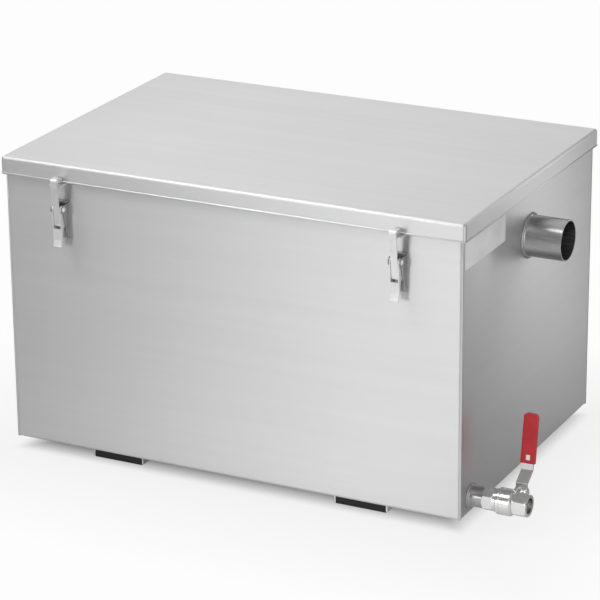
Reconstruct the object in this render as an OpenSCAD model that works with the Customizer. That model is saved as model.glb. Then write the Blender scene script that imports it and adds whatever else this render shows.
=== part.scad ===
// Grease trap in folded stainless sheet: a tank on two skids with a lift-off lid, four toggle
// latches, a solids basket, two drop-in baffles, an inlet, an outlet and a drain valve.
// Millimetres, +Z up, front towards -Y, outlet and drain towards +X.
// The origin is on the floor, under the middle of the part's outer box.

/* [Tank] */
// Width of the tank, left to right
tank_w = 600; // [520:1:900]
// Depth of the tank, front to back
tank_d = 400; // [340:1:600]
// Height of the tank, from the underside of its floor to the top of its flange
tank_h = 359; // [340:1:460]
// Thickness of the sheet
sheet_t = 1.5; // [1:0.1:2]
// Outside radius of the folds
fold_r = 3.5; // [2.5:0.1:5]
// Width of the flange that is turned in round the mouth, from the outside of the wall
flange_w = 16; // [14:0.5:24]
// Distance from the tank's sides to the seams where its end walls are welded on
seam_in = 6; // [6:0.5:12]

/* [Lid] */
// Height of the lid's rim
rim_h = 22; // [18:0.5:30]
// How far the lid stands out past the walls
lid_over = 4.5; // [4:0.25:8]
// Width of the gasket
gasket_w = 12; // [8:0.5:13]
// Thickness of the gasket
gasket_t = 4.5; // [3:0.25:6]

/* [Skids] */
// Height of the skids, with their rubber strips
skid_h = 15; // [12:0.5:30]
// Width of a skid
skid_w = 70; // [50:1:100]
// Distance from the tank's side to a skid
skid_inset = 100; // [60:1:140]
// Distance from the tank's front and back to the ends of a skid
skid_setback = 15; // [5:1:40]
// Thickness of a skid's sheet
skid_t = 2; // [1.5:0.1:3]
// How far the rubber strip stands proud of the channel
strip_proud = 1; // [0.5:0.1:3]

/* [Pipes] */
// Outside diameter of the inlet and outlet spigots
pipe_od = 50; // [40:0.5:63]
// Wall of the spigots
pipe_wall = 1.5; // [1:0.1:2.5]
// How far a spigot stands out from the wall
pipe_out = 48; // [40:1:80]
// How far the outlet's spigot reaches in past the wall
outlet_in = 14; // [8:1:20]
// How far the inlet's spigot reaches in past the wall, over the basket
inlet_in = 24; // [20:1:40]
// Depth of the outlet's axis below the top of the flange
outlet_drop = 70; // [60:1:90]
// How much higher the inlet's axis is than the outlet's
inlet_rise = 14; // [0:1:20]
// Radius of the outlet elbow, along its middle
elbow_r = 46; // [40:1:60]
// Height of the dip leg's open end above the underside of the tank
dip_h = 90; // [50:1:140]
// Width of a weld bead
weld_w = 3; // [2:0.1:4]

/* [Basket] */
// Width of the basket, along the flow
basket_w = 160; // [120:1:180]
// Depth of the basket
basket_h = 145; // [100:1:170]
// Distance from the inlet wall to the basket
basket_gap = 15; // [15:0.5:18]
// Radius of the basket's holes
basket_hole_r = 4; // [2:0.25:5]
// Distance between the basket's holes
basket_pitch = 26; // [20:1:40]
// Width of the ledge that carries the basket
rail_w = 30; // [24:0.5:36]
// Radius of the handles' rod
handle_r = 3; // [2:0.25:4]
// Length of a handle
handle_w = 80; // [60:1:100]
// Height of a handle
handle_h = 38; // [30:1:40]

/* [Baffles] */
// Distance from the inlet wall to the first baffle
inlet_baffle_x = 205; // [200:1:230]
// Distance from the inlet wall to the second baffle
outlet_baffle_x = 440; // [300:1:450]
// Depth of the baffles' tops below the top of the flange
baffle_drop = 34.5; // [24:0.5:50]
// Height of the water passages at the foot of the baffles
passage_h = 60; // [30:1:80]
// Number of passages in the first baffle
passage_n = 4; // [2:1:5]
// Play between a baffle and its guides
baffle_play = 0.75; // [0.3:0.05:1.5]
// Width of a guide's cheek, out from the wall
guide_w = 25; // [22:0.5:30]

/* [Drain] */
// Distance from the front of the tank to the drain's axis
drain_inset = 31; // [26:0.5:60]
// Height of the drain's axis above the underside of the tank
drain_h = 21; // [20:0.5:40]
// Outside diameter of the drain nipple
nipple_od = 21.3; // [20:0.1:22]
// Outside diameter of the nipple's thick middle, between the wall and the valve
socket_od = 25.5; // [24:0.1:26]
// Bore of the nipple and the valve
drain_bore = 15; // [12:0.1:15]
// Length of nipple that shows between the wall and the valve
nipple_out = 18; // [14:0.5:40]
// Depth that the nipple is screwed into the valve
thread_l = 10; // [8:0.5:12]
// Size across the flats of the valve's ends
hex_af = 26; // [25:0.1:30]
// Outside diameter of the valve's body
valve_od = 32; // [30:0.5:36]
// Radius of the ball
ball_r = 11; // [10.5:0.1:11.5]
// Core diameter of the thread in the valve's mouth
thread_d = 18.6; // [18:0.1:20]

/* [Valve lever] */
// Length of the lever, from its stem
lever_l = 90; // [86:1:120]
// Width of the lever
lever_w = 14.5; // [12:0.5:16]
// Thickness of the lever
lever_t = 2.5; // [2:0.1:3]
// How far the lever is cranked away from the valve
lever_crank = 16.5; // [8:0.5:18]
// How far the lever's grip leans away from the valve, in degrees
lever_lean = 9; // [0:0.5:12]
// Length of the sleeve on the lever
sleeve_l = 60; // [50:1:62]
// Width of the sleeve
sleeve_w = 17.5; // [16.5:0.25:22]
// Radius of the valve's stem
stem_r = 4; // [3.5:0.1:4.5]

/* [Latches] */
// Distance from the tank's side to the middle of a latch
latch_inset = 78; // [60:1:120]
// Thickness of the latches' sheet
latch_t = 1.5; // [1.2:0.1:2]
// Width of the hook strip
hook_w = 8.6; // [8:0.1:11]
// Height of the hook's top above the lower edge of the rim
hook_rise = 7.5; // [6:0.25:9]
// Gap between the lid's rim and the hook's inner leg
hook_gap = 2.25; // [1:0.25:5]
// Distance between the hook's two legs
hook_reach = 12.5; // [9:0.1:13]
// Depth of the lever's pivot below the lower edge of the rim
pivot_drop = 31; // [28:0.5:40]
// Distance of the lever's pivot from the wall
pivot_out = 11.5; // [10:0.1:13]
// Distance from the lever's pivot down to the hook's pin
throw = 19; // [17:0.5:22]
// How much nearer the wall the hook's pin is than the pivot
over_centre = 1; // [0.5:0.1:1.5]
// Length of the lever, from its pivot to its tail
latch_lever_l = 46; // [42:0.5:60]
// Width of the plate that holds a latch to the wall
base_plate_w = 20; // [18:0.5:26]
// Radius of the pivot pin
pivot_r = 2; // [1.6:0.1:2.2]
// Radius of the hook's pin
hook_pin_r = 1.5; // [1.2:0.1:1.7]

/* [Clearances] */
// Radial play of a turning pin
turn_play = 0.06; // [0.03:0.01:0.1]
// Radial play of a pin that stays put
fixed_play = 0.02; // [0:0.01:0.05]
// Play between flat pieces that slide or swing past each other
side_play = 0.35; // [0.25:0.05:0.6]
// Gap round a pipe where it passes through a wall
hole_play = 0.3; // [0.1:0.05:0.5]
// Gap between the tank's mouth and what is lifted out through it
mouth_play = 2; // [1:0.25:4]
// Gap between the ball and its seats
ball_play = 0.12; // [0.05:0.01:0.2]

/* [Hidden] */
$fn = 64;

// How far a cutting shape runs past a face, and how deep joined shapes run into each other
cut = 1;
join = 0.5;

// Heights, from the floor up
tank_z = skid_h;
flange_z = tank_z + tank_h;
lid_z = flange_z + gasket_t;
top_z = lid_z + sheet_t;
rim_z = top_z - rim_h;
outlet_z = flange_z - outlet_drop;
inlet_z = outlet_z + inlet_rise;
drain_z = tank_z + drain_h;

// Inner faces of the tank
in_w = tank_w - 2 * sheet_t;
in_d = tank_d - 2 * sheet_t;
in_z = tank_z + sheet_t;
in_fold_r = fold_r - sheet_t;

// Width across the tank's mouth, front to back
opening_d = tank_d - 2 * flange_w;

// Places along the drain valve, from the wall outwards
drain_y = -tank_d / 2 + drain_inset;
valve_x = tank_w / 2 + nipple_out;
nipple_in = 2;
end_hex_l = 14;
mouth_hex_l = 18;
collar_l = 3;
collar_step = 0.8;
spigot_l = 4.5;
seat_l = 5;
seat_gap = 0.5;
mouth_wall = 2;
spigot_end = end_hex_l + collar_l + spigot_l;
ball_s = spigot_end + 2 * seat_l + seat_gap;
cavity_end = 2 * ball_s - spigot_end;
mouth_l = 11;
valve_l = cavity_end + mouth_wall + mouth_l;
bore_r = drain_bore / 2;
cavity_play = 0.6;
cavity_r = ball_r + cavity_play;
body_r = valve_od / 2;
chamfer = 1.5;
neck_step = 0.8;
groove = 0.8;
groove_start = 4;
spigot_wall = 0.8;
spigot_r = cavity_r + spigot_wall;

// Places along the valve's stem, from the ball outwards
boss_r = 8;
boss_h = 8;
boss_y = body_r + boss_h;
gland_l = 8;
lever_y = boss_y + gland_l;
lever_nut_l = 4.5;
lever_nut_af = 14;
lever_eye_r = 9.5;
stem_proud = 1.5;
stem_end = lever_y + lever_t + lever_nut_l + stem_proud;
tang_w = 3;
tang_l = 2.4;
crank_z = 11;
crank_l = 11;
sleeve_wall = 1.6;
crown_r = 4.5;
sleeve_t = lever_t + 2 * sleeve_wall;
grip_z = crank_z + crank_l;
grip_l = lever_l - grip_z;
lever_top = grip_l - (sleeve_w - lever_w) / 2;

// Reach of the part on either side, and the shift that centres its outer box
reach_right = max(valve_x + valve_l, tank_w / 2 + pipe_out);
reach_left = tank_w / 2 + pipe_out;
centre_x = (reach_left - reach_right) / 2;

// Latch outlines are drawn from the wall outwards and from the rim's lower edge upwards
pivot = [pivot_out, -pivot_drop];
hook_pin = [pivot_out - over_centre, -pivot_drop - throw];
keeper_gap = 0.25;
hook_tip = [lid_over + hook_gap + latch_t / 2, keeper_gap];
hook_out = hook_tip[0] + hook_reach;
hook_bend = 2.5;
hook_top = hook_rise;
eye_r = hook_pin_r + turn_play + latch_t;
cheek_x = hook_w / 2 + side_play;
latch_w = 2 * (cheek_x + latch_t);
ear_x = latch_w / 2 + side_play;
base_w = 2 * (ear_x + latch_t);
shelf_gap = 2.5;
shelf_out = hook_out - latch_t / 2 - shelf_gap;
plate_step = 2;
plate_out = pivot_out + plate_step;
eye_gap = 2.2;
plate_top = hook_pin[1] - eye_r - eye_gap;
tail_h = 8;
tail_flare = 1;
tail_z = -pivot_drop - latch_lever_l;
tail_bend_z = tail_z + tail_h;
latch_x = tank_w / 2 - latch_inset;

// Name, side along X and side along Y of each latch
LATCHES = [
    ["front_left", -1, -1],
    ["front_right", 1, -1],
    ["back_left", -1, 1],
    ["back_right", 1, 1],
];
LATCH_PIECES = ["base", "pivot_pin", "lever", "hook_pin", "hook", "keeper"];
SIDES = [["left", -1], ["right", 1]];
ENDS = [["front", -1], ["back", 1]];

// Shared shapes

// A rectangle with round corners, about its middle
module round_rect(w, d, r) {
    square([w - 2 * r, d], center = true);
    square([w, d - 2 * r], center = true);
    for (x = [-1, 1], y = [-1, 1])
        translate([x * (w / 2 - r), y * (d / 2 - r)]) circle(r);
}

// A block with round upright edges and a round lower edge, standing on z = 0
module pan_block(w, d, h, r) {
    translate([0, 0, r]) linear_extrude(h - r) round_rect(w, d, r);
    linear_extrude(h) square([w - 2 * r, d - 2 * r], center = true);
    for (y = [-1, 1]) translate([0, y * (d / 2 - r), r]) rod_x(r, -w / 2 + r, w / 2 - r);
    for (x = [-1, 1]) translate([x * (w / 2 - r), 0, r]) rod_y(r, -d / 2 + r, d / 2 - r);
    for (x = [-1, 1], y = [-1, 1])
        translate([x * (w / 2 - r), y * (d / 2 - r), r]) sphere(r);
}

// A folded pan with an open top
module pan(w, d, h, r, t) {
    difference() {
        pan_block(w, d, h, r);
        translate([0, 0, t]) pan_block(w - 2 * t, d - 2 * t, h, r - t);
    }
}

// Rods along the three axes
module rod_x(r, from, to) translate([from, 0, 0]) rotate([0, 90, 0]) cylinder(h = to - from, r = r);
module rod_y(r, from, to) translate([0, from, 0]) rotate([-90, 0, 0]) cylinder(h = to - from, r = r);

// A tube along X
module tube_x(r, wall, from, to) {
    difference() {
        rod_x(r, from, to);
        rod_x(r - wall, from - cut, to + cut);
    }
}

// An outline of Y and Z, drawn out along X
module along_x(from, to) translate([from, 0, 0]) rotate([90, 0, 90]) linear_extrude(to - from) children();

// A round piece turned about the X axis, from an outline of radius and X
module turned_x() rotate([0, 90, 0]) rotate_extrude() children();

// A hexagon bar along X, with its corners turned down at both ends
module hex_x(af, from, to) {
    corner_r = af / sqrt(3);
    chamfer = corner_r - af / 2;
    intersection() {
        translate([from, 0, 0]) rotate([0, 90, 0]) cylinder(h = to - from, r = corner_r, $fn = 6);
        turned_x() polygon([
            [0, from], [af / 2, from], [corner_r, from + chamfer],
            [corner_r, to - chamfer], [af / 2, to], [0, to],
        ]);
    }
}

// A straight band of sheet between two points of an outline
module band(p, q, t) {
    d = q - p;
    translate(p) rotate(atan2(d[1], d[0])) translate([0, -t / 2]) square([norm(d), t]);
}

// A quarter bend of sheet round a centre, starting at an angle
module quarter_bend(c, r, t, angle) {
    reach = 2 * (r + t);
    translate(c) rotate(angle) intersection() {
        difference() {
            circle(r + t / 2);
            circle(r - t / 2);
        }
        square(reach);
    }
}

// A low dome on the XY plane
module dome(r, h) {
    ball = (r * r + h * h) / (2 * h);
    intersection() {
        translate([0, 0, h - ball]) sphere(ball);
        cylinder(h = h + cut, r = r + cut);
    }
}

// A weld bead round a pipe, from the wall outwards along X
module weld_bead(r, from) {
    knee_r = r + weld_w * 0.35;
    knee = from + weld_w * 0.7;
    turned_x() polygon([
        [r - join, from], [r + weld_w, from], [knee_r, knee], [r, from + weld_w], [r - join, from + weld_w],
    ]);
}

// Puts a latch piece on the front or back wall, at the lower edge of the lid's rim
module on_wall(latch) {
    translate([centre_x + latch[1] * latch_x, latch[2] * tank_d / 2, rim_z])
        mirror([0, latch[2] < 0 ? 1 : 0, 0]) children();
}

// Tank, lid and skids

// The whole tank with its turned-in flange, about its own middle
module tank_shell() {
    translate([0, 0, tank_z]) pan(tank_w, tank_d, tank_h, fold_r, sheet_t);
    translate([0, 0, flange_z - sheet_t]) linear_extrude(sheet_t) difference() {
        round_rect(tank_w, tank_d, fold_r);
        round_rect(tank_w - 2 * flange_w, tank_d - 2 * flange_w, fold_r);
    }
}

// The stretch of the tank between two places along X
module tank_stretch(from, to) intersection() {
    tank_shell();
    translate([from, -tank_d / 2 - cut, tank_z - cut]) cube([to - from, tank_d + 2 * cut, tank_h + 2 * cut]);
}

// The floor with the front and back walls, folded from one sheet
module tank() color("silver") translate([centre_x, 0, 0])
    tank_stretch(-tank_w / 2 + seam_in, tank_w / 2 - seam_in);

// An end wall with its folded edges, and the holes for a pipe and, on the right, for the drain
module tank_end(side) color("silver") translate([centre_x, 0, 0]) mirror([side < 0 ? 1 : 0, 0, 0]) difference() {
    tank_stretch(tank_w / 2 - seam_in, tank_w / 2 + cut);
    translate([0, 0, side < 0 ? inlet_z : outlet_z])
        rod_x(pipe_od / 2 + hole_play, in_w / 2 - cut, tank_w / 2 + cut);
    if (side > 0) translate([0, drain_y, drain_z])
        rod_x(nipple_od / 2 + hole_play, in_w / 2 - cut, tank_w / 2 + cut);
}

module lid() color("gainsboro") translate([centre_x, 0, top_z]) mirror([0, 0, 1])
    pan(tank_w + 2 * lid_over, tank_d + 2 * lid_over, rim_h, fold_r, sheet_t);

module lid_gasket() color("dimgray") translate([centre_x, 0, flange_z]) linear_extrude(gasket_t) {
    margin = (flange_w - gasket_w) / 2;
    difference() {
        round_rect(tank_w - 2 * margin, tank_d - 2 * margin, fold_r);
        round_rect(tank_w - 2 * margin - 2 * gasket_w, tank_d - 2 * margin - 2 * gasket_w, fold_r);
    }
}

// Puts a skid piece under the tank, on the left or the right
module under_tank(side) {
    translate([centre_x + side * (tank_w / 2 - skid_inset - skid_w / 2), 0, 0]) children();
}

module skid(side) color("silver") under_tank(side) {
    length = tank_d - 2 * skid_setback;
    translate([0, length / 2, 0]) rotate([90, 0, 0]) linear_extrude(length) difference() {
        translate([-skid_w / 2, strip_proud]) square([skid_w, skid_h - strip_proud]);
        translate([-skid_w / 2 + skid_t, 0]) square([skid_w - 2 * skid_t, skid_h - skid_t]);
    }
}

module skid_strip(side) color("black") under_tank(side) {
    length = tank_d - 2 * skid_setback;
    translate([-skid_w / 2 + skid_t, -length / 2, 0])
        cube([skid_w - 2 * skid_t, length, skid_h - skid_t]);
}

// Inlet and outlet

module inlet_spigot() color("silver") translate([centre_x, 0, inlet_z]) mirror([1, 0, 0]) {
    tube_x(pipe_od / 2, pipe_wall, in_w / 2 - inlet_in, tank_w / 2 + pipe_out);
    weld_bead(pipe_od / 2, tank_w / 2);
}

module outlet_spigot() color("silver") translate([centre_x, 0, outlet_z]) {
    tube_x(pipe_od / 2, pipe_wall, in_w / 2 - outlet_in, tank_w / 2 + pipe_out);
    weld_bead(pipe_od / 2, tank_w / 2);
}

module outlet_elbow() color("silver") translate([centre_x + in_w / 2 - outlet_in, 0, outlet_z - elbow_r]) {
    leg = outlet_z - tank_z - elbow_r - dip_h;
    rotate([90, 0, 0]) rotate_extrude(angle = 90, start = 90) translate([elbow_r, 0]) difference() {
        circle(pipe_od / 2);
        circle(pipe_od / 2 - pipe_wall);
    }
    translate([-elbow_r, 0, -leg]) difference() {
        cylinder(h = leg, r = pipe_od / 2);
        translate([0, 0, -cut]) cylinder(h = leg + 2 * cut, r = pipe_od / 2 - pipe_wall);
    }
}

// Solids basket and what carries it

basket_x = -in_w / 2 + basket_gap + basket_w / 2;
basket_d = in_d - 2 * rail_w - 2 * side_play;
basket_drop = 6;
basket_rim_z = inlet_z - pipe_od / 2 - basket_drop;
basket_lip = (opening_d - basket_d) / 2 - mouth_play;
hole_margin = basket_pitch * 0.75;

// Places of a row of holes that fits in a length
function hole_row(length) =
    let (n = floor((length - 2 * hole_margin) / basket_pitch))
    [for (i = [0:n]) (i - n / 2) * basket_pitch];

module solids_basket() color("lightgray") translate([centre_x + basket_x, 0, basket_rim_z - basket_h]) {
    difference() {
        union() {
            pan(basket_w, basket_d, basket_h, fold_r, sheet_t);
            translate([0, 0, basket_h - sheet_t]) linear_extrude(sheet_t) difference() {
                square([basket_w, basket_d + 2 * basket_lip], center = true);
                round_rect(basket_w - 2 * sheet_t, basket_d - 2 * sheet_t, in_fold_r);
            }
        }
        for (x = hole_row(basket_w), y = hole_row(basket_d))
            translate([x, y, -cut]) cylinder(h = sheet_t + 2 * cut, r = basket_hole_r);
        for (y = hole_row(basket_d), z = hole_row(basket_h))
            translate([0, y, basket_h / 2 + z]) rod_x(basket_hole_r, -basket_w / 2 - cut, basket_w / 2 + cut);
    }
}

module basket_handle(side) color("silver")
    translate([centre_x + basket_x, side * (basket_d + basket_lip) / 2, basket_rim_z]) {
        bend = 2.5 * handle_r;
        half = handle_w / 2 - handle_r;
        top = handle_h - handle_r;
        for (x = [-1, 1]) {
            translate([x * half, 0, 0]) cylinder(h = top - bend, r = handle_r);
            translate([x * (half - bend), 0, top - bend]) rotate([90, 0, 0])
                rotate_extrude(angle = 90, start = x > 0 ? 0 : 90) translate([bend, 0]) circle(handle_r);
        }
        translate([0, 0, top]) rod_x(handle_r, -half + bend, half - bend);
    }

module basket_rail(side) color("silver")
    translate([centre_x, side * in_d / 2, basket_rim_z - sheet_t]) mirror([0, side > 0 ? 1 : 0, 0])
        along_x(basket_x - basket_w / 2, inlet_plate_x - guide_wide / 2) {
            translate([0, -sheet_t]) square([rail_w, sheet_t]);
            translate([0, -rail_w]) square([sheet_t, rail_w]);
        }

// Baffles and their guides

inlet_plate_x = -in_w / 2 + inlet_baffle_x;
outlet_plate_x = -in_w / 2 + outlet_baffle_x;
baffle_d = opening_d - 2 * mouth_play;
baffle_h = flange_z - baffle_drop - in_z;
slot_w = sheet_t + 2 * baffle_play;
guide_wide = slot_w + 2 * sheet_t;

// A baffle's plate with a hand hole near its top, as an outline of Y and Z
module baffle_outline() {
    hand_w = 90;
    hand_h = 24;
    hand_r = 11;
    difference() {
        translate([-baffle_d / 2, 0]) square([baffle_d, baffle_h]);
        translate([0, baffle_h - 2 * hand_h]) round_rect(hand_w, hand_h, hand_r);
    }
}

module inlet_baffle() color("lightgray") translate([centre_x + inlet_plate_x, 0, in_z])
    along_x(-sheet_t / 2, sheet_t / 2) difference() {
        baffle_outline();
        bay = (baffle_d - 2 * guide_w) / passage_n;
        gap_w = bay * 0.7;
        for (i = [0:passage_n - 1])
            translate([(i - (passage_n - 1) / 2) * bay - gap_w / 2, -cut]) square([gap_w, passage_h + cut]);
    }

module outlet_baffle() color("lightgray") translate([centre_x + outlet_plate_x, 0, in_z])
    along_x(-sheet_t / 2, sheet_t / 2) difference() {
        baffle_outline();
        gap_w = baffle_d - 4 * guide_w;
        translate([-gap_w / 2, -cut]) square([gap_w, passage_h + cut]);
    }

// A channel on the front or back wall that a baffle drops into
module guide(plate_x, side) color("silver")
    translate([centre_x + plate_x, side * in_d / 2, in_z + in_fold_r]) mirror([0, side > 0 ? 1 : 0, 0])
        linear_extrude(baffle_h - in_fold_r) {
            translate([-guide_wide / 2, 0]) square([guide_wide, sheet_t]);
            for (x = [-1, 1])
                translate([x * (slot_w + sheet_t) / 2 - sheet_t / 2, 0]) square([sheet_t, guide_w]);
        }

// Drain nipple and ball valve

module on_drain() translate([centre_x, drain_y, drain_z]) children();

module on_valve() translate([centre_x + valve_x, drain_y, drain_z]) children();

module on_stem() translate([centre_x + valve_x + ball_s, drain_y, drain_z]) children();

module drain_nipple() color("silver") on_drain() difference() {
    from = in_w / 2 - nipple_in;
    to = valve_x + thread_l;
    union() {
        rod_x(nipple_od / 2, from, to);
        rod_x(socket_od / 2, tank_w / 2, valve_x);
        weld_bead(socket_od / 2, tank_w / 2);
    }
    rod_x(bore_r, from - cut, to + cut);
}

module valve_end() color("gainsboro") on_valve() difference() {
    union() {
        hex_x(hex_af, 0, end_hex_l);
        rod_x(hex_af / 2 + collar_step, end_hex_l - join, end_hex_l + collar_l);
        rod_x(spigot_r, end_hex_l + collar_l - join, spigot_end);
    }
    rod_x(bore_r, -cut, spigot_end + cut);
    rod_x(nipple_od / 2 + fixed_play, -cut, thread_l);
}

module valve_body() color("gainsboro") on_valve() {
    start = end_hex_l + collar_l;
    hex_start = valve_l - mouth_hex_l;
    neck_r = hex_af / 2 - neck_step;
    rim_r = body_r - chamfer;
    groove_r = body_r - groove;
    groove_at = start + groove_start;
    groove_to = groove_at + 2 * groove;
    difference() {
        union() {
            turned_x() polygon([
                [0, start], [rim_r, start], [body_r, start + chamfer],
                [body_r, groove_at], [groove_r, groove_at + groove], [groove_r, groove_to],
                [body_r, groove_to + groove], [body_r, hex_start - 2 * chamfer], [rim_r, hex_start - chamfer],
                [neck_r, hex_start], [neck_r, hex_start + chamfer], [0, hex_start + chamfer],
            ]);
            hex_x(hex_af, hex_start, valve_l);
            translate([ball_s, 0, 0]) rod_y(boss_r, 0, boss_y);
        }
        rod_x(spigot_r + fixed_play, start - cut, spigot_end);
        rod_x(cavity_r, spigot_end - cut, cavity_end);
        rod_x(bore_r, cavity_end - cut, valve_l + cut);
        rod_x(thread_d / 2, valve_l - mouth_l, valve_l + cut);
        translate([ball_s, 0, 0]) rod_y(stem_r + turn_play, 0, boss_y + cut);
    }
}

// A plastic seat ring, hollowed to the ball on one face
module seat(side) color("white") on_stem() difference() {
    reach = ball_s - spigot_end;
    mirror([side < 0 ? 1 : 0, 0, 0]) tube_x(cavity_r - fixed_play, cavity_r - fixed_play - bore_r, reach - seat_l, reach);
    sphere(ball_r + ball_play);
}

module valve_ball() color("gainsboro") on_stem() difference() {
    sphere(ball_r);
    translate([0, 0, -ball_r - cut]) cylinder(h = 2 * (ball_r + cut), r = bore_r);
    translate([-tang_w / 2 - fixed_play, ball_r - tang_l, -ball_r]) cube([tang_w + 2 * fixed_play, ball_r, 2 * ball_r]);
}

module valve_stem() color("gainsboro") on_stem() {
    rod_y(stem_r, ball_r, stem_end);
    intersection() {
        rod_y(stem_r, ball_r - tang_l, ball_r + join);
        translate([-tang_w / 2, 0, -stem_r]) cube([tang_w, 2 * ball_r, 2 * stem_r]);
    }
}

// A hexagon nut along the stem, in front of a place
module stem_nut(af, from, to) difference() {
    rotate([0, 0, 90]) hex_x(af, from, to);
    rod_y(stem_r + turn_play, from - cut, to + cut);
}

module gland_nut() color("gainsboro") on_stem() stem_nut(2 * boss_r, boss_y, lever_y);

module lever_nut() color("silver") on_stem()
    stem_nut(lever_nut_af, lever_y + lever_t, lever_y + lever_t + lever_nut_l);

// The lever's cranked path of Y and Z, along its middle
lever_path = [
    [0, 0],
    [0, crank_z],
    [lever_crank, grip_z],
    [lever_crank + lever_top * sin(lever_lean), grip_z + lever_top * cos(lever_lean)],
];

// The step from a path to the side of the strip that follows it, where two stretches meet
function side_of(step) = [step[1], -step[0]] / norm(step);
function corner(a, b) = (a + b) / (1 + a * b);

module lever_outline() {
    last = len(lever_path) - 1;
    sides = [for (i = [1:last]) side_of(lever_path[i] - lever_path[i - 1])];
    corners = [for (i = [0:last]) corner(sides[max(i - 1, 0)], sides[min(i, last - 1)]) * lever_t / 2];
    polygon(concat(
        [for (i = [0:last]) lever_path[i] + corners[i]],
        [for (i = [last:-1:0]) lever_path[i] - corners[i]]
    ));
}

module valve_lever() color("silver") on_stem() difference() {
    union() {
        translate([0, lever_y + lever_t / 2, 0]) along_x(-lever_w / 2, lever_w / 2) lever_outline();
        rod_y(lever_eye_r, lever_y, lever_y + lever_t);
    }
    rod_y(stem_r + fixed_play, lever_y - cut, lever_y + lever_t + cut);
}

// Puts a piece on the lever's leaning grip
module on_grip() on_stem() translate([0, lever_y + lever_t / 2 + lever_crank, grip_z])
    rotate([-lever_lean, 0, 0]) children();

// The sleeve's outline, seen along the stem, with a small window that shows the lever
module sleeve_outline() {
    foot = grip_l - sleeve_l;
    window = [6, 7];
    difference() {
        union() {
            translate([-sleeve_w / 2, foot]) square([sleeve_w, sleeve_l - crown_r]);
            translate([0, grip_l - crown_r]) square([sleeve_w - 2 * crown_r, 2 * crown_r], center = true);
            for (x = [-1, 1]) translate([x * (sleeve_w / 2 - crown_r), grip_l - crown_r]) circle(crown_r);
        }
        translate([-window[0] / 2, foot + window[1] / 2]) square(window);
    }
}

module lever_sleeve() color("firebrick") on_grip() difference() {
    translate([0, sleeve_t / 2, 0]) rotate([90, 0, 0]) linear_extrude(sleeve_t) sleeve_outline();
    translate([-lever_w / 2 - fixed_play, -lever_t / 2 - fixed_play, 0])
        cube([lever_w + 2 * fixed_play, lever_t + 2 * fixed_play, lever_top + fixed_play]);
}

// Toggle latches

module latch_base(latch) color("silver") on_wall(latch) {
    foot_drop = 20;
    head_rise = 9;
    head_gap = 2;
    ear_r = 5.2;
    toe_in = 1;
    toe_rise = 2;
    foot_z = hook_pin[1] - foot_drop;
    head_z = -pivot_drop + head_rise;
    head_out = pivot_out - pivot_r - head_gap;
    toe_z = foot_z + toe_rise;
    toe_out = latch_t + toe_in;
    difference() {
        union() {
            translate([-base_plate_w / 2, 0, foot_z]) cube([base_plate_w, latch_t, head_z - foot_z]);
            translate([-base_w / 2, 0, head_z - latch_t]) cube([base_w, head_out, latch_t]);
            for (x = [-ear_x - latch_t, ear_x]) along_x(x, x + latch_t) {
                translate([0, -pivot_drop - ear_r]) square([pivot_out, 2 * ear_r]);
                polygon([[0, toe_z], [toe_out, toe_z], [pivot_out, -pivot_drop - ear_r], [0, -pivot_drop - ear_r]]);
                translate(pivot) circle(ear_r);
            }
        }
        translate([0, pivot[0], pivot[1]]) rod_x(pivot_r + fixed_play, -base_w, base_w);
    }
}

module latch_pivot_pin(latch) color("gainsboro") on_wall(latch) translate([0, pivot[0], pivot[1]]) {
    rod_x(pivot_r, -base_w / 2, base_w / 2);
    head_r = 1.8 * pivot_r;
    head_h = 0.7 * pivot_r;
    for (x = [-1, 1]) translate([x * base_w / 2, 0, 0]) rotate([0, x * 90, 0]) dome(head_r, head_h);
}

// One cheek of the latch lever, as an outline from the wall outwards
module cheek_outline() {
    head_r = 4.8;
    heel_wall = 1.5;
    toe_in = 1;
    toe_rise = 3;
    heel_r = eye_r + heel_wall;
    toe = [plate_out - toe_in, tail_bend_z + toe_rise];
    translate(pivot) circle(head_r);
    translate(hook_pin) circle(heel_r);
    polygon([
        [pivot[0] - head_r, pivot[1]], [hook_pin[0] - heel_r, hook_pin[1]],
        [hook_pin[0], hook_pin[1] - heel_r], toe,
        [plate_out + latch_t, tail_bend_z], [plate_out + latch_t, plate_top],
        [pivot[0] + head_r, pivot[1]],
    ]);
}

module latch_lever(latch) color("gainsboro") on_wall(latch) difference() {
    plate_mid = plate_out + latch_t / 2;
    tail_mid = plate_mid + tail_flare;
    tail_w = latch_w - latch_t;
    lip_r = latch_t * 0.7;
    union() {
        for (x = [-cheek_x - latch_t, cheek_x]) along_x(x, x + latch_t) cheek_outline();
        along_x(-latch_w / 2, latch_w / 2) band([plate_mid, tail_bend_z], [plate_mid, plate_top], latch_t);
        along_x(-latch_w / 2, latch_w / 2) translate([plate_mid, tail_bend_z]) circle(latch_t / 2);
        along_x(-tail_w / 2, tail_w / 2) {
            band([plate_mid, tail_bend_z], [tail_mid, tail_z], latch_t);
            translate([tail_mid, tail_z]) circle(lip_r);
        }
    }
    translate([0, pivot[0], pivot[1]]) rod_x(pivot_r + turn_play, -latch_w, latch_w);
    translate([0, hook_pin[0], hook_pin[1]]) rod_x(hook_pin_r + fixed_play, -latch_w, latch_w);
}

module latch_hook_pin(latch) color("gainsboro") on_wall(latch)
    translate([0, hook_pin[0], hook_pin[1]]) rod_x(hook_pin_r, -latch_w / 2, latch_w / 2);

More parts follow.
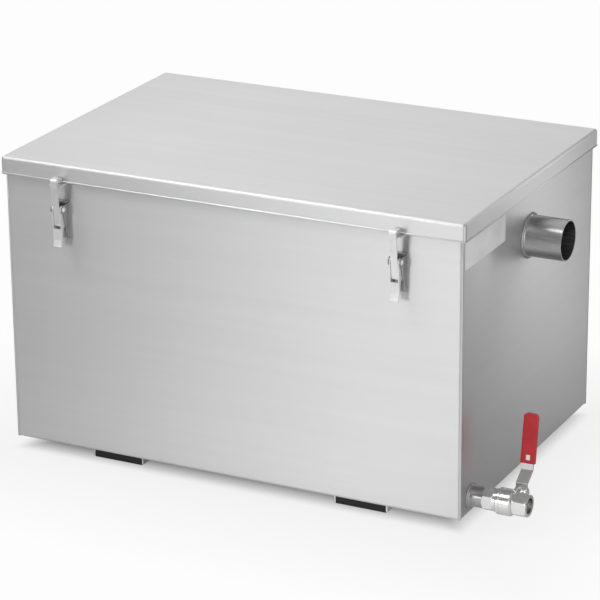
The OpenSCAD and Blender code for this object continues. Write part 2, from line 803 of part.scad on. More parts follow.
module latch_hook(latch) color("gainsboro") on_wall(latch) difference() {
    inner = [hook_tip[0] + hook_bend, hook_top - hook_bend];
    outer = [hook_out - hook_bend, hook_top - hook_bend];
    shoulder = [hook_out, outer[1]];
    along_x(-hook_w / 2, hook_w / 2) {
        band(hook_tip, [hook_tip[0], inner[1]], latch_t);
        quarter_bend(inner, hook_bend, latch_t, 90);
        band([inner[0], hook_top], [outer[0], hook_top], latch_t);
        quarter_bend(outer, hook_bend, latch_t, 0);
        translate(shoulder) circle(latch_t / 2);
        band(shoulder, hook_pin + [eye_r - latch_t / 2, 0], latch_t);
        translate(hook_pin) circle(eye_r);
    }
    translate([0, hook_pin[0], hook_pin[1]]) rod_x(hook_pin_r + turn_play, -hook_w, hook_w);
}

module latch_keeper(latch) color("silver") on_wall(latch) {
    leg_out = lid_over - sheet_t;
    leg_gap = 4;
    leg_h = rim_h - fold_r - leg_gap;
    along_x(-base_w / 2, base_w / 2) {
        translate([leg_out - latch_t, -latch_t]) square([latch_t, leg_h + latch_t]);
        translate([leg_out - latch_t, -latch_t]) square([shelf_out - leg_out + latch_t, latch_t]);
    }
}

// Drawing, one node at a time or all together

module latch_piece(piece, latch) {
    if (piece == "base") latch_base(latch);
    if (piece == "pivot_pin") latch_pivot_pin(latch);
    if (piece == "lever") latch_lever(latch);
    if (piece == "hook_pin") latch_hook_pin(latch);
    if (piece == "hook") latch_hook(latch);
    if (piece == "keeper") latch_keeper(latch);
}

tank();
lid();
lid_gasket();
inlet_spigot();
outlet_spigot();
outlet_elbow();
solids_basket();
inlet_baffle();
outlet_baffle();
drain_nipple();
valve_end();
valve_body();
seat(-1);  // valve_seat_inner
seat(1);  // valve_seat_outer
valve_ball();
valve_stem();
gland_nut();
valve_lever();
lever_nut();
lever_sleeve();
for (end = ENDS) {
    basket_handle(end[1]);
    basket_rail(end[1]);
    guide(inlet_plate_x, end[1]);
    guide(outlet_plate_x, end[1]);
}
for (side = SIDES) {
    tank_end(side[1]);
    skid(side[1]);
    skid_strip(side[1]);
}
for (piece = LATCH_PIECES, latch = LATCHES)
    latch_piece(piece, latch);
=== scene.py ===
"""Finishes, small details and a studio for the stainless grease trap."""

import math

import bmesh
import bpy
from mathutils import Matrix, Vector


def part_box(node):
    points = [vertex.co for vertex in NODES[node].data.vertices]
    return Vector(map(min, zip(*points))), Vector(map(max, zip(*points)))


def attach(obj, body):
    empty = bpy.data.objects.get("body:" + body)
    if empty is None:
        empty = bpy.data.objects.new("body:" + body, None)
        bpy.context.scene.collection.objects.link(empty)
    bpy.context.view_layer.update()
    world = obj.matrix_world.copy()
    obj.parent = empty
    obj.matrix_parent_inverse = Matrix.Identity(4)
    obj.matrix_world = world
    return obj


bl_info = {
    "name": "Grease trap",
    "version": (1, 0, 0),
    "blender": (4, 5, 0),
    "location": "View3D > Sidebar > Grease trap",
    "description": "Finishes the grease trap's steel, valve and latches, and sets its studio",
    "category": "Object",
}

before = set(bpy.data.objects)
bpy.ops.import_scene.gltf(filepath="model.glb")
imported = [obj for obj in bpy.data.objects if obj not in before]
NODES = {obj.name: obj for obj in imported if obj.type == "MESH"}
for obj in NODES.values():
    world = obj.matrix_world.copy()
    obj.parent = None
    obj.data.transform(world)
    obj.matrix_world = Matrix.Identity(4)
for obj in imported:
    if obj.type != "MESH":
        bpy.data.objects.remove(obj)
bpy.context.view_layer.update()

TANK_LOW, TANK_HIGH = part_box("tank_end_left")[0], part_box("tank_end_right")[1]
TANK_MIDDLE = (TANK_LOW + TANK_HIGH) / 2
UP = Vector((0, 0, 1))
ALONG = Vector((1, 0, 0))

# Nodes that share a finish

LATCHES = ("front_left", "front_right", "back_left", "back_right")
ENDS = ("front", "back")
SIDES = ("left", "right")

SHEET_NODES = [
    "tank", "lid",
    *("tank_end_" + side for side in SIDES),
    *("skid_" + side for side in SIDES),
]
INNER_NODES = [
    "solids_basket", "inlet_baffle", "outlet_baffle",
    *("basket_rail_" + end for end in ENDS),
    *("basket_handle_" + end for end in ENDS),
    *("inlet_guide_" + end for end in ENDS),
    *("outlet_guide_" + end for end in ENDS),
]
PIPE_NODES = ["inlet_spigot", "outlet_spigot", "outlet_elbow", "drain_nipple"]
RUBBER_NODES = ["lid_gasket", *("skid_strip_" + side for side in SIDES)]
VALVE_NODES = ["valve_end", "valve_body", "valve_ball", "valve_stem", "gland_nut"]
SEAT_NODES = ["valve_seat_inner", "valve_seat_outer"]
LEVER_NODES = ["valve_lever", "lever_nut"]
LATCH_PARTS = ("pivot_pin", "lever", "hook_pin", "hook", "keeper")
LATCH_NODES = [f"latch_{part}_{latch}" for part in LATCH_PARTS for latch in LATCHES]
LATCH_BASES = ["latch_base_" + latch for latch in LATCHES]


# Values that a user may change

def colour(name, description, default):
    return bpy.props.FloatVectorProperty(
        name=name, description=description, subtype="COLOR", size=3,
        min=0.0, max=1.0, default=default,
    )


def length(name, description, default):
    """A length in metres."""
    return bpy.props.FloatProperty(
        name=name, description=description, subtype="DISTANCE", unit="LENGTH",
        min=0.0, default=default, precision=5,
    )


def step(name, description, default):
    """A step in metres, to either side."""
    return bpy.props.FloatProperty(name=name, description=description, unit="LENGTH", default=default)


def share(name, description, default):
    """A number from 0 to 1."""
    return bpy.props.FloatProperty(
        name=name, description=description, subtype="FACTOR", min=0.0, max=1.0, default=default,
    )


def strength(name, description, default):
    return bpy.props.FloatProperty(name=name, description=description, min=0.0, default=default)


def angle(name, description, degrees):
    return bpy.props.FloatProperty(
        name=name, description=description, subtype="ANGLE", unit="ROTATION",
        default=math.radians(degrees),
    )


class GreaseTrapFinishes(bpy.types.PropertyGroup):
    """Colours and gloss of the finishes."""

    sheet: colour("Sheet", "Colour of the brushed tank and lid", (0.68, 0.68, 0.685))
    sheet_rough: share("Sheet roughness", "Roughness of the brushed sheet", 0.42)
    sheet_grain: share("Sheet grain", "How far the brushing stretches reflections", 0.88)
    inner: colour("Inner sheet", "Colour of the basket, baffles and guides", (0.60, 0.60, 0.61))
    pipe: colour("Pipe", "Colour of the spigots, elbow and nipple", (0.44, 0.44, 0.445))
    latch: colour("Latch", "Colour of the latches' levers, hooks and keepers", (0.87, 0.87, 0.87))
    # Darker than the levers and hooks though the same steel: painted shade, standing for the shade in the
    # bases
    latch_base: colour("Latch base", "Colour of the latches' bases", (0.40, 0.40, 0.405))
    plating: colour("Valve plating", "Colour of the plated valve", (0.80, 0.80, 0.795))
    lever: colour("Lever", "Colour of the valve's steel lever", (0.76, 0.76, 0.755))
    sleeve: colour("Sleeve", "Colour of the lever's dipped sleeve", (0.70, 0.035, 0.050))
    seat: colour("Seat", "Colour of the valve's seats", (0.86, 0.86, 0.84))
    rubber: colour("Rubber", "Colour of the gasket and the foot strips", (0.018, 0.018, 0.019))
    plate: colour("Plate", "Colour of the bare plate", (0.94, 0.945, 0.95))


class GreaseTrapSizes(bpy.types.PropertyGroup):
    """Sizes of the small details."""

    plate_length: length("Plate length", "Length of the bare plate, front to back", 0.116)
    plate_height: length("Plate height", "Height of the bare plate", 0.036)
    plate_thick: length("Plate thickness", "Thickness of the bare plate", 0.0004)
    plate_corner: length("Plate corner", "Radius of the bare plate's corners", 0.002)
    plate_edge: length("Plate edge", "Width of the broken edge round the plate", 0.0002)
    plate_front: length("Plate inset", "Distance from the tank's front to the plate", 0.006)
    plate_drop: length("Plate drop", "Distance from the lid's rim down to the plate", 0.0006)
    plate_glue: length("Plate glue", "Thickness of the glue behind the plate", 0.00006)
    lid_corner: length("Lid corner", "Radius of the lid's upright corners", 0.0035)
    hem_radius: length("Hem radius", "Radius of the hem along the lid's rim", 0.0013)
    seam_radius: length("Seam radius", "Radius of the ground weld up a corner of the tank", 0.0018)
    spigot_radius: length("Spigot radius", "Radius that a spigot's weld bead runs round", 0.025)
    nipple_radius: length("Nipple radius", "Radius that the nipple's weld bead runs round", 0.01275)
    turned_edge: length("Turned edge", "Width of the broken edges of the pipes and the valve", 0.0003)
    sleeve_edge: length("Sleeve edge", "Width of the sleeve's soft edges", 0.0011)
    latch_edge: length("Latch edge", "Width of the broken edges of the latches", 0.0002)
    bead_width: length("Bead width", "Width of a weld bead", 0.0034)
    bead_root: length("Bead root", "How far a weld bead reaches into its pipe", 0.0004)
    bead_ripple: length("Bead ripple", "Distance between the ripples of a weld bead", 0.0024)
    bead_rise: share("Bead rise", "Height of a weld bead, as a share of its width", 0.62)


class GreaseTrapStage(bpy.types.PropertyGroup):
    """The camera and the studio."""

    azimuth: angle("Azimuth", "Camera's turn to the right of the front", 26.6674)
    elevation: angle("Elevation", "Camera's height angle", 20.2187)
    roll: angle("Roll", "Camera's turn about its own axis", -0.5263)
    distance: length("Distance", "From the camera to the tank's middle", 3.66732)
    lens: bpy.props.FloatProperty(
        name="Lens", description="Focal length on a 36 mm frame", subtype="DISTANCE_CAMERA",
        unit="CAMERA", default=177.675,
    )
    aim_right: step("Aim right", "Camera's step to its right", -0.00504)
    aim_up: step("Aim up", "Camera's step up", -0.02088)
    aim_height: length("Aim height", "Height of the point that the camera looks at", 0.1974)
    floor: colour("Floor", "Colour of the floor", (0.62, 0.62, 0.62))
    floor_size: length("Floor size", "Length of the floor's sides", 30.0)
    white_near: share("White near", "How far the floor by the tank is lifted towards white", 0.81)
    white_far: share("White far", "How far the floor away from the tank is lifted towards white", 0.97)
    white_reach: length("White reach", "Distance over which the lift grows", 0.24)
    white_under: share("White under", "How far the floor under the tank is lifted towards white", 0.05)
    shade_in: step("Shade start", "Where the shade under the tank is full, past its walls", -0.038)
    shade_out: step("Shade end", "Where the shade under the tank ends, past its walls", 0.016)
    dome_low: share("Dome low", "Strength of the dome's dim side", 0.056)
    dome_high: strength("Dome high", "Strength of the dome's bright side", 0.84)
    dome_front: strength("Dome front", "Strength of the dome's patch before the tank", 0.4)
    dome_right: strength("Dome right", "Strength of the dome's patch above the right", 0.42)


def settings(name):
    """One of the add-on's groups of values."""
    return getattr(bpy.context.scene, "grease_trap_" + name)


# Shader nodes

QUARTER_TURN = 0.25
METAL, NOT_METAL = 1.0, 0.0


def toned(base, factor):
    """A colour made lighter or darker."""
    return tuple(min(1.0, channel * factor) for channel in base)


class Shader:
    """The node tree of a material or a world, with short ways to add and link nodes."""

    def __init__(self, owner, output):
        owner.use_nodes = True
        self.owner = owner
        self.tree = owner.node_tree
        self.tree.nodes.clear()
        self.output = self.add(output)

    def add(self, kind, **values):
        node = self.tree.nodes.new(kind)
        for key, value in values.items():
            setattr(node, key, value)
        return node

    def link(self, out_socket, in_socket):
        self.tree.links.new(out_socket, in_socket)

    def show(self, out_socket):
        """Makes a shader the one that is seen."""
        self.link(out_socket, self.output.inputs["Surface"])

    def surface(self, base, rough, metallic, **sockets):
        """A surface with a colour and a roughness, which the vary functions then vary."""
        self.base, self.rough = base, rough
        self.bsdf = self.add("ShaderNodeBsdfPrincipled")
        values = {"Base_Color": (*base, 1.0), "Roughness": rough, "Metallic": metallic, **sockets}
        for key, value in values.items():
            self.bsdf.inputs[key.replace("_", " ")].default_value = value
        self.show(self.bsdf.outputs["BSDF"])

    def place(self, scale):
        """Object coordinates, scaled along each axis."""
        where = self.add("ShaderNodeTexCoord")
        mapping = self.add("ShaderNodeMapping")
        mapping.inputs["Scale"].default_value = scale
        self.link(where.outputs["Object"], mapping.inputs["Vector"])
        return mapping.outputs["Vector"]

    def noise(self, scale, detail=3.0, rough=0.5, stretch=(1, 1, 1)):
        """Noise with so many waves to the metre, times the stretch along each axis."""
        node = self.add("ShaderNodeTexNoise")
        node.inputs["Scale"].default_value = scale
        node.inputs["Detail"].default_value = detail
        node.inputs["Roughness"].default_value = rough
        self.link(self.place(stretch), node.inputs["Vector"])
        return node.outputs["Fac"]

    def spread(self, value, low, high, start=0.3, stop=0.7):
        """Low to high as a value goes from start to stop, where noise has most of its values."""
        node = self.add("ShaderNodeMapRange")
        node.inputs["From Min"].default_value = start
        node.inputs["From Max"].default_value = stop
        node.inputs["To Min"].default_value = low
        node.inputs["To Max"].default_value = high
        self.link(value, node.inputs["Value"])
        return node.outputs["Result"]

    def math(self, operation, *values):
        node = self.add("ShaderNodeMath", operation=operation)
        for socket, value in zip(node.inputs, values):
            if isinstance(value, (int, float)):
                socket.default_value = value
            else:
                self.link(value, socket)
        return node.outputs["Value"]

    def weighted(self, first, second, part):
        """The first value for its part of the whole, and the second for the rest."""
        return self.math("ADD", self.math("MULTIPLY", first, part), self.math("MULTIPLY", second, 1 - part))

    def mix(self, kind):
        """A mix node's factor, its two inputs and its result."""
        node = self.add("ShaderNodeMix", data_type=kind)
        return [socket for socket in (*node.inputs, *node.outputs) if socket.enabled]

    def blend(self, value, low, high):
        """A number that goes from low to high with a value of 0 to 1."""
        *sockets, result = self.mix("FLOAT")
        for socket, source in zip(sockets, (value, low, high)):
            self.link(source, socket)
        return result

    def dot(self, vector, way):
        node = self.add("ShaderNodeVectorMath", operation="DOT_PRODUCT")
        self.link(vector, node.inputs[0])
        node.inputs[1].default_value = way
        return node.outputs["Value"]

    def axes(self, vector):
        """The X, Y and Z of a vector."""
        node = self.add("ShaderNodeSeparateXYZ")
        self.link(vector, node.inputs["Vector"])
        return node.outputs

    def geometry(self, name):
        return self.add("ShaderNodeNewGeometry").outputs[name]

    def brush(self, across, lean):
        """Draws reflections out at right angles to a brushing that runs round an axis.

        The small lean gives the brushing a way where a face looks along the axis.
        """
        cross = self.add("ShaderNodeVectorMath", operation="CROSS_PRODUCT")
        cross.inputs[0].default_value = across
        self.link(self.geometry("True Normal"), cross.inputs[1])
        tangent = self.add("ShaderNodeVectorMath", operation="ADD")
        self.link(cross.outputs["Vector"], tangent.inputs[0])
        tangent.inputs[1].default_value = lean
        self.link(tangent.outputs["Vector"], self.bsdf.inputs["Tangent"])
        self.bsdf.inputs["Anisotropic Rotation"].default_value = QUARTER_TURN

    def vary_colour(self, value, dark, light):
        """Lets the base colour run from dark to light times itself."""
        factor, low, high, result = self.mix("RGBA")
        self.link(self.spread(value, 0.0, 1.0), factor)
        low.default_value = (*toned(self.base, dark), 1.0)
        high.default_value = (*toned(self.base, light), 1.0)
        self.link(result, self.bsdf.inputs["Base Color"])

    def vary_gloss(self, value, less, more):
        """Lets the roughness run from a little less to a little more than its own."""
        self.link(self.spread(value, self.rough - less, self.rough + more), self.bsdf.inputs["Roughness"])

    def vary_height(self, value, depth, strength):
        """Lets the surface rise and fall by a depth in metres."""
        node = self.add("ShaderNodeBump")
        node.inputs["Distance"].default_value = depth
        node.inputs["Strength"].default_value = strength
        self.link(value, node.inputs["Height"])
        self.link(node.outputs["Normal"], self.bsdf.inputs["Normal"])


def new_shader(name):
    return Shader(bpy.data.materials.new(name), "ShaderNodeOutputMaterial")


# Finishes

# How many grains a mottle of metal and a worn spot of rubber are across
MOTTLE_SIZE = 12
WEAR_SIZE = 20


def streaks(shader, flat, along, across, detail, rough):
    """Streaks that run level on the walls, and left to right where a face is flat."""
    wall = shader.noise(1.0, detail, rough, stretch=(along, along, across))
    top = shader.noise(1.0, detail, rough, stretch=(along, across, along))
    return shader.blend(flat, wall, top)


def brushed_sheet():
    """Stainless sheet with a fine level brushing."""
    finishes = settings("finishes")
    shader = new_shader("brushed_sheet")
    shader.surface(tuple(finishes.sheet), finishes.sheet_rough, METAL, Anisotropic=finishes.sheet_grain)
    shader.brush(UP, lean=(0.01, 0, 0))
    flat = shader.math("ABSOLUTE", shader.axes(shader.geometry("True Normal"))["Z"])
    fine = streaks(shader, flat, along=5, across=900, detail=4.0, rough=0.6)
    broad = streaks(shader, flat, along=1.5, across=70, detail=3.0, rough=0.5)
    cloud = shader.noise(1.0, detail=2.0, stretch=(4, 4, 4))
    shader.vary_colour(shader.weighted(fine, broad, part=0.5), dark=0.965, light=1.03)
    shader.vary_gloss(shader.weighted(fine, cloud, part=0.6), less=0.05, more=0.06)
    shader.vary_height(fine, depth=0.00002, strength=0.35)
    return shader.owner


def polished_tube(base):
    """Tube polished round its girth, which draws reflections out along it."""
    shader = new_shader("drawn_tube")
    shader.surface(base, 0.27, METAL, Anisotropic=0.6)
    shader.brush(ALONG, lean=(0, 0.02, 0))
    lines = shader.noise(1.0, detail=4.0, rough=0.6, stretch=(14, 700, 700))
    cloud = shader.noise(1.0, stretch=(20, 60, 60))
    shader.vary_colour(cloud, dark=0.93, light=1.06)
    shader.vary_gloss(lines, less=0.03, more=0.04)
    shader.vary_height(lines, depth=0.000004, strength=0.3)
    return shader.owner


def plain_metal(name, base, rough, mottle, dent, grain):
    """Metal with a faint mottle in its colour, its gloss and its surface."""
    shader = new_shader(name)
    shader.surface(tuple(base), rough, METAL)
    fine = shader.noise(grain, detail=4.0, rough=0.6)
    broad = shader.noise(grain / MOTTLE_SIZE, detail=2.0)
    shader.vary_colour(broad, dark=1 - mottle, light=1 + mottle)
    shader.vary_gloss(fine, less=0.05, more=0.08)
    shader.vary_height(fine, dent, strength=0.4)
    return shader.owner


def soft_surface(name, base, rough, dent, grain, **sockets):
    """Rubber, vinyl or plastic with a fine skin."""
    shader = new_shader(name)
    shader.surface(tuple(base), rough, NOT_METAL, **sockets)
    skin = shader.noise(grain, detail=5.0, rough=0.6)
    wear = shader.noise(grain / WEAR_SIZE)
    shader.vary_colour(wear, dark=0.88, light=1.1)
    shader.vary_gloss(skin, less=0.06, more=0.08)
    shader.vary_height(skin, dent, strength=0.5)
    return shader.owner


# Pieces

SAME_POINT = 1e-6
SHARP_EDGE = math.radians(40)


def finish(names, material, bevel=0.0):
    """Gives CAD nodes a finish, with softly broken edges where a bevel is given."""
    for name in names:
        piece = NODES[name]
        piece.data.materials.clear()
        piece.data.materials.append(material)
        weld = piece.modifiers.new("joined faces", "WELD")
        weld.merge_threshold = SAME_POINT
        if bevel:
            edges = piece.modifiers.new("broken edges", "BEVEL")
            edges.width = bevel
            edges.segments = 2
            edges.limit_method = "ANGLE"
            edges.angle_limit = SHARP_EDGE
        normals = piece.modifiers.new("even shading", "WEIGHTED_NORMAL")
        normals.weight = 80
        normals.keep_sharp = True


def skin_rings(form, rings, capped):
    """Skins a list of rings of points, with the last joined to the first unless both are capped."""
    rows = [[form.verts.new(point) for point in ring] for ring in rings]
    if capped:
        form.faces.new(rows[0])
        form.faces.new(rows[-1])
    for row, after in zip(rows, rows[1:] if capped else rows[1:] + rows[:1]):
        for i in range(len(row)):
            form.faces.new((row[i - 1], row[i], after[i], after[i - 1]))


def new_piece(name, rings, material, body, capped=False, smooth=True):
    """A piece skinned over rings, which rides on a body and takes a slot's finish."""
    form = bmesh.new()
    skin_rings(form, rings, capped)
    bmesh.ops.recalc_face_normals(form, faces=form.faces)
    mesh = bpy.data.meshes.new(name)
    form.to_mesh(mesh)
    form.free()
    for face in mesh.polygons:
        face.use_smooth = smooth
    mesh.materials.append(material)
    piece = bpy.data.objects.new(name, mesh)
    bpy.context.scene.collection.objects.link(piece)
    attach(piece, body)


def turns(count):
    """Angles spread evenly round a circle."""
    return [2 * math.pi * k / count for k in range(count)]


def rounded_outline(width, height, radius, steps=5):
    """Points round a rectangle with round corners, about its middle."""
    points = []
    for quarter, (sx, sy) in enumerate(((1, 1), (-1, 1), (-1, -1), (1, -1))):
        for k in range(steps + 1):
            turn = math.pi / 2 * (quarter + k / steps)
            points.append((
                sx * (width / 2 - radius) + radius * math.cos(turn),
                sy * (height / 2 - radius) + radius * math.sin(turn),
            ))
    return points


def outline_normals(outline):
    """The outward way at each point of an outline that runs round its middle."""
    normals = []
    for i in range(len(outline)):
        (ax, ay), (bx, by) = outline[i - 1], outline[(i + 1) % len(outline)]
        normals.append(Vector((by - ay, ax - bx, 0)).normalized())
    return normals


# Shares of their radius that the hem and a seam are sunk by, and the points round each
HEM_SUNK, HEM_POINTS = 0.35, 12
SEAM_SUNK, SEAM_POINTS = 0.8, 16


def hem_rings(corner, radius):
    """The rings of the round hem along the lower edge of the lid's rim."""
    low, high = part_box("lid")
    middle = (low + high) / 2
    sunk = radius * HEM_SUNK
    around = turns(HEM_POINTS)
    outline = rounded_outline(high.x - low.x, high.y - low.y, corner)
    rings = []
    for (x, y), out in zip(outline, outline_normals(outline)):
        spine = Vector((middle.x + x, middle.y + y, low.z + radius)) - out * sunk
        rings.append([spine + (out * math.cos(t) + UP * math.sin(t)) * radius for t in around])
    return rings


def seam_rings(x, y, radius):
    """The rings of a ground weld up a corner of the tank, with rounded ends."""
    low, high = TANK_LOW.z, TANK_HIGH.z
    sunk = radius * SEAM_SUNK
    spine = Vector((
        x - math.copysign(sunk, x - TANK_MIDDLE.x),
        y - math.copysign(sunk, y - TANK_MIDDLE.y),
        0,
    ))
    tip, shoulder = 0.3, 0.9
    girths = (
        (low, tip), (low + radius * 0.4, shoulder), (low + radius, 1), (high - radius, 1), (high, tip),
    )
    rings = []
    for z, girth in girths:
        reach = radius * girth
        rings.append([
            spine + Vector((reach * math.cos(t), reach * math.sin(t), z)) for t in turns(SEAM_POINTS)
        ])
    return rings


def bead_rings(centre, outward, radius, sizes):
    """The rings of a rippled weld bead round a pipe, on a wall that faces outward along X."""
    ripple_steps, bow_points = 6, 8
    core, swell, drift = 0.86, 0.14, 0.05
    around = turns(round(2 * math.pi * radius / sizes.bead_ripple) * ripple_steps)
    bow = [math.pi * k / (bow_points - 1) for k in range(bow_points)]
    rings = []
    for i, turn in enumerate(around):
        phase = 2 * (i % ripple_steps) / ripple_steps - 1
        wander = drift * math.sin(3 * turn + 1)
        width = sizes.bead_width * (core + swell * math.sqrt(1 - phase ** 2) + wander)
        spoke = Vector((0, math.cos(turn), math.sin(turn)))
        rings.append([
            centre
            + spoke * (radius - sizes.bead_root + width * (1 - math.cos(a)) / 2)
            + ALONG * outward * sizes.bead_rise * width * math.sin(a)
            for a in bow
        ])
    return rings


def plate_rings(sizes):
    """The rings of the bare plate, from its back to the broken edge of its face."""
    front = TANK_LOW.y + sizes.plate_front
    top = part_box("lid")[0].z - sizes.plate_drop
    middle = Vector((TANK_HIGH.x, front + sizes.plate_length / 2, top - sizes.plate_height / 2))
    outline = rounded_outline(sizes.plate_length, sizes.plate_height, sizes.plate_corner)
    shoulder = sizes.plate_thick * 0.6
    rings = []
    for lift, inset in ((sizes.plate_glue, 0), (shoulder, 0), (sizes.plate_thick, sizes.plate_edge)):
        scale_y = 1 - 2 * inset / sizes.plate_length
        scale_z = 1 - 2 * inset / sizes.plate_height
        rings.append([middle + Vector((lift, y * scale_y, z * scale_z)) for y, z in outline])
    return rings


class GREASETRAP_OT_steel(bpy.types.Operator):
    """Finish the tank, the lid and the skids in brushed sheet, and add their hem and corner welds"""

    bl_idname = "grease_trap.steel"
    bl_label = "Tank and lid"

    def execute(self, context):
        sizes = settings("sizes")
        sheet = brushed_sheet()
        finish(SHEET_NODES, sheet)
        hem = hem_rings(sizes.lid_corner, sizes.hem_radius)
        new_piece("lid_hem", hem, sheet, "lid")
        for end, y in zip(ENDS, (TANK_LOW.y, TANK_HIGH.y)):
            for side, x in zip(SIDES, (TANK_LOW.x, TANK_HIGH.x)):
                seam = seam_rings(x, y, sizes.seam_radius)
                new_piece(f"corner_weld_{end}_{side}", seam, sheet, "tank", capped=True)
        return {"FINISHED"}


class GREASETRAP_OT_inside(bpy.types.Operator):
    """Finish the basket, the baffles and what holds them"""

    bl_idname = "grease_trap.inside"
    bl_label = "Basket and baffles"

    def execute(self, context):
        finishes = settings("finishes")
        inner = plain_metal(
            "inner_sheet", finishes.inner, rough=0.38, mottle=0.05, dent=0.00002, grain=900)
        finish(INNER_NODES, inner)
        return {"FINISHED"}


class GREASETRAP_OT_pipes(bpy.types.Operator):
    """Finish the spigots, the elbow and the nipple, and add their weld beads"""

    bl_idname = "grease_trap.pipes"
    bl_label = "Pipes"

    def execute(self, context):
        finishes, sizes = settings("finishes"), settings("sizes")
        pipe = tuple(finishes.pipe)
        heated = toned(pipe, 0.9)
        weld = plain_metal("weld_bead", heated, rough=0.34, mottle=0.12, dent=0.00005, grain=1500)
        finish(PIPE_NODES, polished_tube(pipe), sizes.turned_edge)
        for name, wall, outward, radius in (
            ("outlet_spigot", TANK_HIGH.x, 1, sizes.spigot_radius),
            ("inlet_spigot", TANK_LOW.x, -1, sizes.spigot_radius),
            ("drain_nipple", TANK_HIGH.x, 1, sizes.nipple_radius),
        ):
            low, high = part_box(name)
            centre = Vector((wall, (low.y + high.y) / 2, (low.z + high.z) / 2))
            bead = bead_rings(centre, outward, radius, sizes)
            new_piece(name + "_weld", bead, weld, "tank")
        return {"FINISHED"}


class GREASETRAP_OT_valve(bpy.types.Operator):
    """Finish the ball valve and its lever"""

    bl_idname = "grease_trap.valve"
    bl_label = "Ball valve"

    def execute(self, context):
        finishes, sizes = settings("finishes"), settings("sizes")
        plating = plain_metal(
            "plated_brass", finishes.plating, rough=0.17, mottle=0.05, dent=0.00004, grain=700)
        strip = plain_metal(
            "plated_strip", finishes.lever, rough=0.36, mottle=0.05, dent=0.00002, grain=900)
        sleeve = soft_surface(
            "dipped_vinyl", finishes.sleeve, rough=0.40, dent=0.00002, grain=800, Specular_IOR_Level=0.3)
        seat = soft_surface("seat_plastic", finishes.seat, rough=0.4, dent=0.00001, grain=900)
        finish(VALVE_NODES, plating, sizes.turned_edge)
        finish(LEVER_NODES, strip, sizes.turned_edge)
        finish(["lever_sleeve"], sleeve, sizes.sleeve_edge)
        finish(SEAT_NODES, seat)
        return {"FINISHED"}


class GREASETRAP_OT_latches(bpy.types.Operator):
    """Finish the toggle latches, with the bases darkened as painted shade"""

    bl_idname = "grease_trap.latches"
    bl_label = "Latches"

    def execute(self, context):
        finishes, sizes = settings("finishes"), settings("sizes")
        tumbled = plain_metal(
            "tumbled_steel", finishes.latch, rough=0.42, mottle=0.05, dent=0.00003, grain=1100)
        # The bases take a darker copy of the latch steel: painted shade for the shade in the bases
        shaded_base_steel = plain_metal(
            "painted_shade_steel", finishes.latch_base, rough=0.30, mottle=0.08, dent=0.00003, grain=1100)
        finish(LATCH_NODES, tumbled, sizes.latch_edge)
        finish(LATCH_BASES, shaded_base_steel, sizes.latch_edge)
        return {"FINISHED"}


class GREASETRAP_OT_rubber(bpy.types.Operator):
    """Finish the gasket and the foot strips in rubber"""

    bl_idname = "grease_trap.rubber"
    bl_label = "Rubber"

    def execute(self, context):
        finishes = settings("finishes")
        rubber = soft_surface("black_rubber", finishes.rubber, rough=0.62, dent=0.00004, grain=700)
        finish(RUBBER_NODES, rubber)
        return {"FINISHED"}


class GREASETRAP_OT_plate(bpy.types.Operator):
    """Add the bare plate on the right wall"""

    bl_idname = "grease_trap.plate"
    bl_label = "Plate"

    def execute(self, context):
        finishes, sizes = settings("finishes"), settings("sizes")
        foil = soft_surface("satin_foil", finishes.plate, rough=0.34, dent=0.00001, grain=600)
        rings = plate_rings(sizes)
        new_piece("bare_plate", rings, foil, "tank", capped=True, smooth=False)
        return {"FINISHED"}


# Studio

# Name, place, width and height, and power of each soft lamp, in metres and watts
LAMPS = (
    ("key_lamp", (-1.5, -1.35, 3.1), (1.4, 1.4), 25),
    ("front_lamp", (-1.83, -5.0, 1.1), (1.1, 1.4), 27),
    ("band_lamp", (0.62, 0.67, 0.5), (0.12, 1.0), 0.66),
    ("side_lamp", (2.5, -1.55, 0.95), (1.1, 1.6), 13),
)
# The way to each bright patch of the dome, its strength, and the cosines where it starts and is full
DOME_PATCHES = (
    ((-0.75, 0.45, 0.45), "dome_high", 0.3, 0.72),
    ((-0.2, -0.9, 0.25), "dome_front", 0.80, 0.96),
    ((0.6, -0.25, 0.76), "dome_right", 0.25, 0.75),
)
WHITE = (1.0, 1.0, 1.0, 1.0)


def distance_from_tank(shader, place):
    """How far a place on the floor is outside the tank's footprint, below 0 under the tank."""
    off_x = shader.math("ABSOLUTE", shader.math("SUBTRACT", place["X"], TANK_MIDDLE.x))
    off_y = shader.math("ABSOLUTE", shader.math("SUBTRACT", place["Y"], TANK_MIDDLE.y))
    past_x = shader.math("SUBTRACT", off_x, (TANK_HIGH.x - TANK_LOW.x) / 2)
    past_y = shader.math("SUBTRACT", off_y, (TANK_HIGH.y - TANK_LOW.y) / 2)
    return shader.math("MAXIMUM", past_x, past_y)


def front_of_tank(shader, place):
    """1 on the floor before the tank, less to the left and beside it."""
    left, right, edge = 0.12, 0.42, 0.1
    across = shader.spread(place["X"], 0.0, 1.0, TANK_LOW.x - left, TANK_LOW.x + right)
    before = shader.spread(place["Y"], 1.0, 0.0, TANK_LOW.y - edge, TANK_LOW.y + edge)
    return shader.math("MULTIPLY", across, before)


